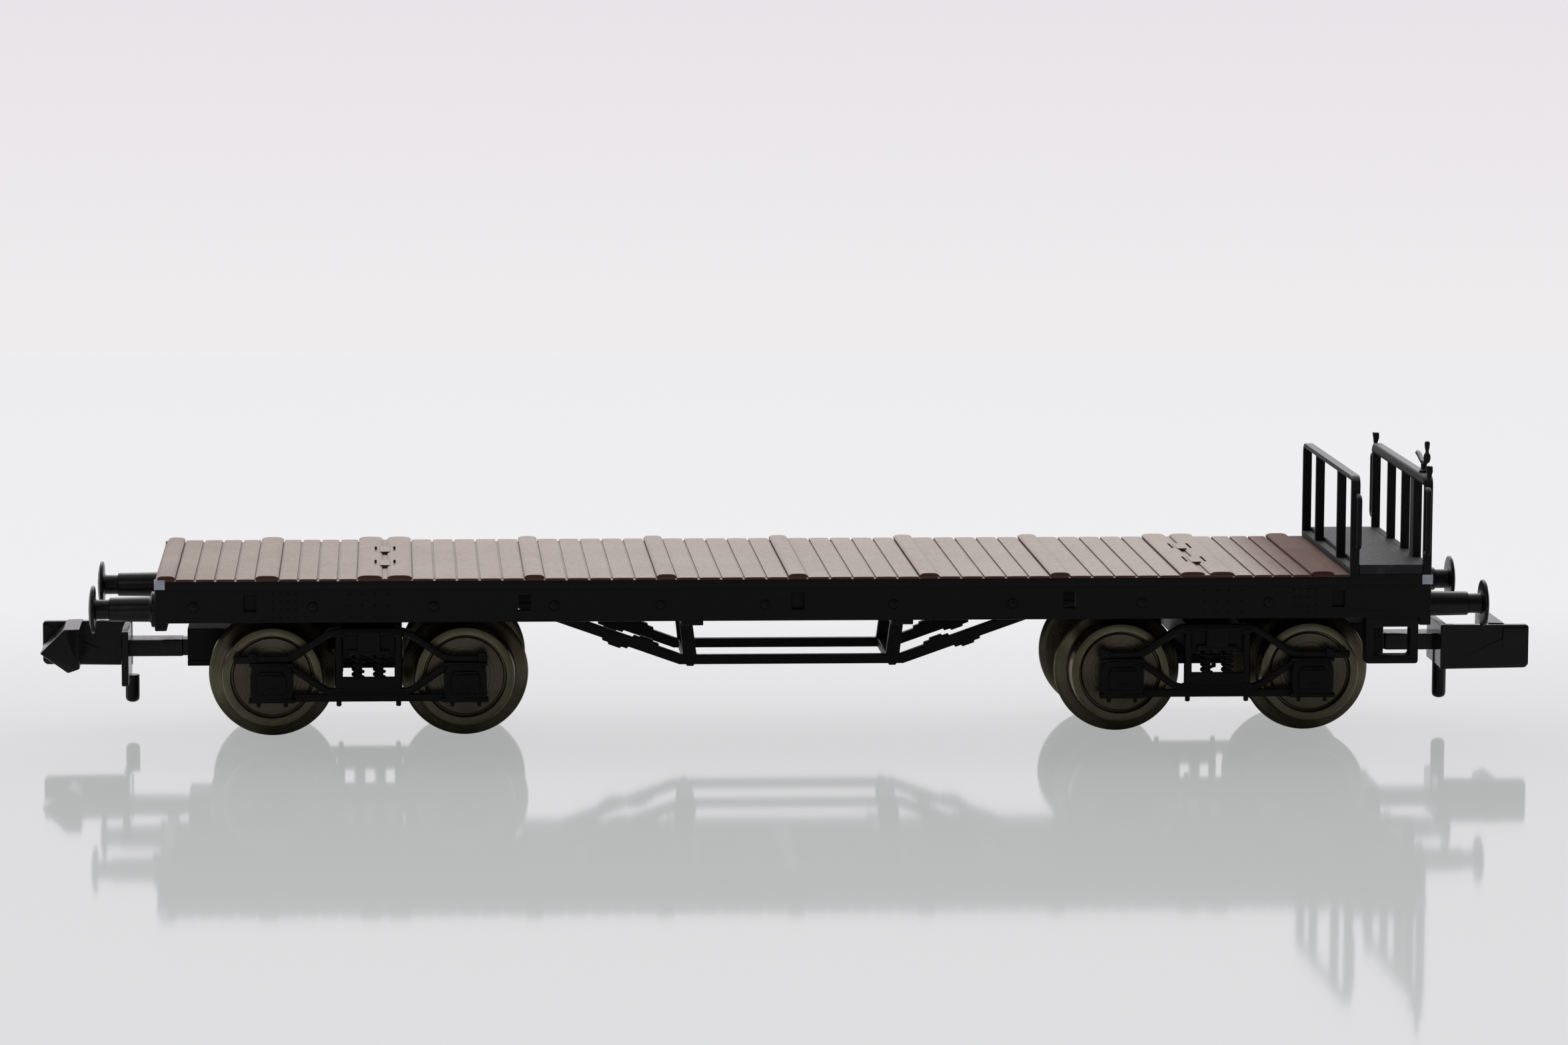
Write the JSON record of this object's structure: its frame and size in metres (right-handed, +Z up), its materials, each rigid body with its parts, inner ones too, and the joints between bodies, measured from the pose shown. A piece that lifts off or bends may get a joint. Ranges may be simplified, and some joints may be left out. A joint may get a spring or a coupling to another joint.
{
  "type": "model flat car",
  "caption": "Model railway bogie flat car with a planked deck, open brake platform at one end, trussed underframe, swivelling bogies and hook couplers.",
  "frame": {"origin": "centre of the car in plan, at the bottom of the wheel flanges", "axes": "+X along the car towards the brake platform, +Y across the car to its far side, +Z up"},
  "size_m": [0.0888, 0.0198, 0.0177],
  "materials": {
    "frame_black": "satin black paint on a metal casting",
    "deck_brown": "satin reddish-brown moulded planks",
    "bogie_black": "satin black moulding",
    "wheel_metal": "chemically darkened turned metal",
    "steel": "plain bright steel"
  },
  "bodies": {
    "car": {"underframe": "frame_black", "deck": "deck_brown", "truss_near": "frame_black", "truss_far": "frame_black", "truss_tie_left": "frame_black", "truss_tie_right": "frame_black", "buffer_near_left": "frame_black", "buffer_far_left": "frame_black", "buffer_near_right": "frame_black", "buffer_far_right": "frame_black", "platform_floor": "frame_black", "inner_railing": "frame_black", "end_railing": "frame_black", "brake_crank": "frame_black", "inner_grab_iron_near": "frame_black", "inner_grab_iron_far": "frame_black", "end_grab_iron_near": "frame_black", "end_grab_iron_far": "frame_black", "lamp_iron_near": "frame_black", "lamp_iron_far": "frame_black", "step_near": "frame_black", "step_far": "frame_black", "pivot_screw_left": "steel", "pivot_screw_right": "steel"},
    "bogie_left": {"bogie_frame_left": "bogie_black", "bogie_side_near_left": "bogie_black", "bogie_side_far_left": "bogie_black", "pocket_cover_left": "bogie_black", "coupler_spring_left": "steel"},
    "wheelset_outer_left": {"axle_outer_left": "wheel_metal", "wheel_near_outer_left": "wheel_metal", "wheel_far_outer_left": "wheel_metal"},
    "wheelset_inner_left": {"axle_inner_left": "wheel_metal", "wheel_near_inner_left": "wheel_metal", "wheel_far_inner_left": "wheel_metal"},
    "coupler_swivel_left": {"coupler_pin_left": "steel"},
    "coupler_head_left": {"coupler_left": "bogie_black"},
    "bogie_right": {"bogie_frame_right": "bogie_black", "bogie_side_near_right": "bogie_black", "bogie_side_far_right": "bogie_black", "pocket_cover_right": "bogie_black", "coupler_spring_right": "steel"},
    "wheelset_outer_right": {"axle_outer_right": "wheel_metal", "wheel_near_outer_right": "wheel_metal", "wheel_far_outer_right": "wheel_metal"},
    "wheelset_inner_right": {"axle_inner_right": "wheel_metal", "wheel_near_inner_right": "wheel_metal", "wheel_far_inner_right": "wheel_metal"},
    "coupler_swivel_right": {"coupler_pin_right": "steel"},
    "coupler_head_right": {"coupler_right": "bogie_black"}
  },
  "joints": [
    {"name": "bogie_turn_left", "type": "hinge", "parent": "car", "child": "bogie_left", "pos_m": [-0.025, 0, 0.00575], "axis": [0, 0, 1], "range_deg": [-10, 10]},
    {"name": "axle_spin_outer_left", "type": "hinge", "parent": "bogie_left", "child": "wheelset_outer_left", "pos_m": [-0.03065, 0, 0.00375], "axis": [0, 1, 0], "continuous": true},
    {"name": "axle_spin_inner_left", "type": "hinge", "parent": "bogie_left", "child": "wheelset_inner_left", "pos_m": [-0.01935, 0, 0.00375], "axis": [0, 1, 0], "continuous": true},
    {"name": "coupler_swing_left", "type": "hinge", "parent": "bogie_left", "child": "coupler_swivel_left", "pos_m": [-0.0333, 0, 0.00479], "axis": [0, 0, -1], "range_deg": [-10, 10]},
    {"name": "coupler_lift_left", "type": "hinge", "parent": "coupler_swivel_left", "child": "coupler_head_left", "pos_m": [-0.0333, 0, 0.00479], "axis": [0, 1, 0], "range_deg": [0, 8]},
    {"name": "bogie_turn_right", "type": "hinge", "parent": "car", "child": "bogie_right", "pos_m": [0.025, 0, 0.00575], "axis": [0, 0, 1], "range_deg": [-10, 10]},
    {"name": "axle_spin_outer_right", "type": "hinge", "parent": "bogie_right", "child": "wheelset_outer_right", "pos_m": [0.03065, 0, 0.00375], "axis": [0, 1, 0], "continuous": true},
    {"name": "axle_spin_inner_right", "type": "hinge", "parent": "bogie_right", "child": "wheelset_inner_right", "pos_m": [0.01935, 0, 0.00375], "axis": [0, 1, 0], "continuous": true},
    {"name": "coupler_swing_right", "type": "hinge", "parent": "bogie_right", "child": "coupler_swivel_right", "pos_m": [0.0333, 0, 0.00479], "axis": [0, 0, -1], "range_deg": [-10, 10]},
    {"name": "coupler_lift_right", "type": "hinge", "parent": "coupler_swivel_right", "child": "coupler_head_right", "pos_m": [0.0333, 0, 0.00479], "axis": [0, -1, 0], "range_deg": [0, 8]}
  ]
}
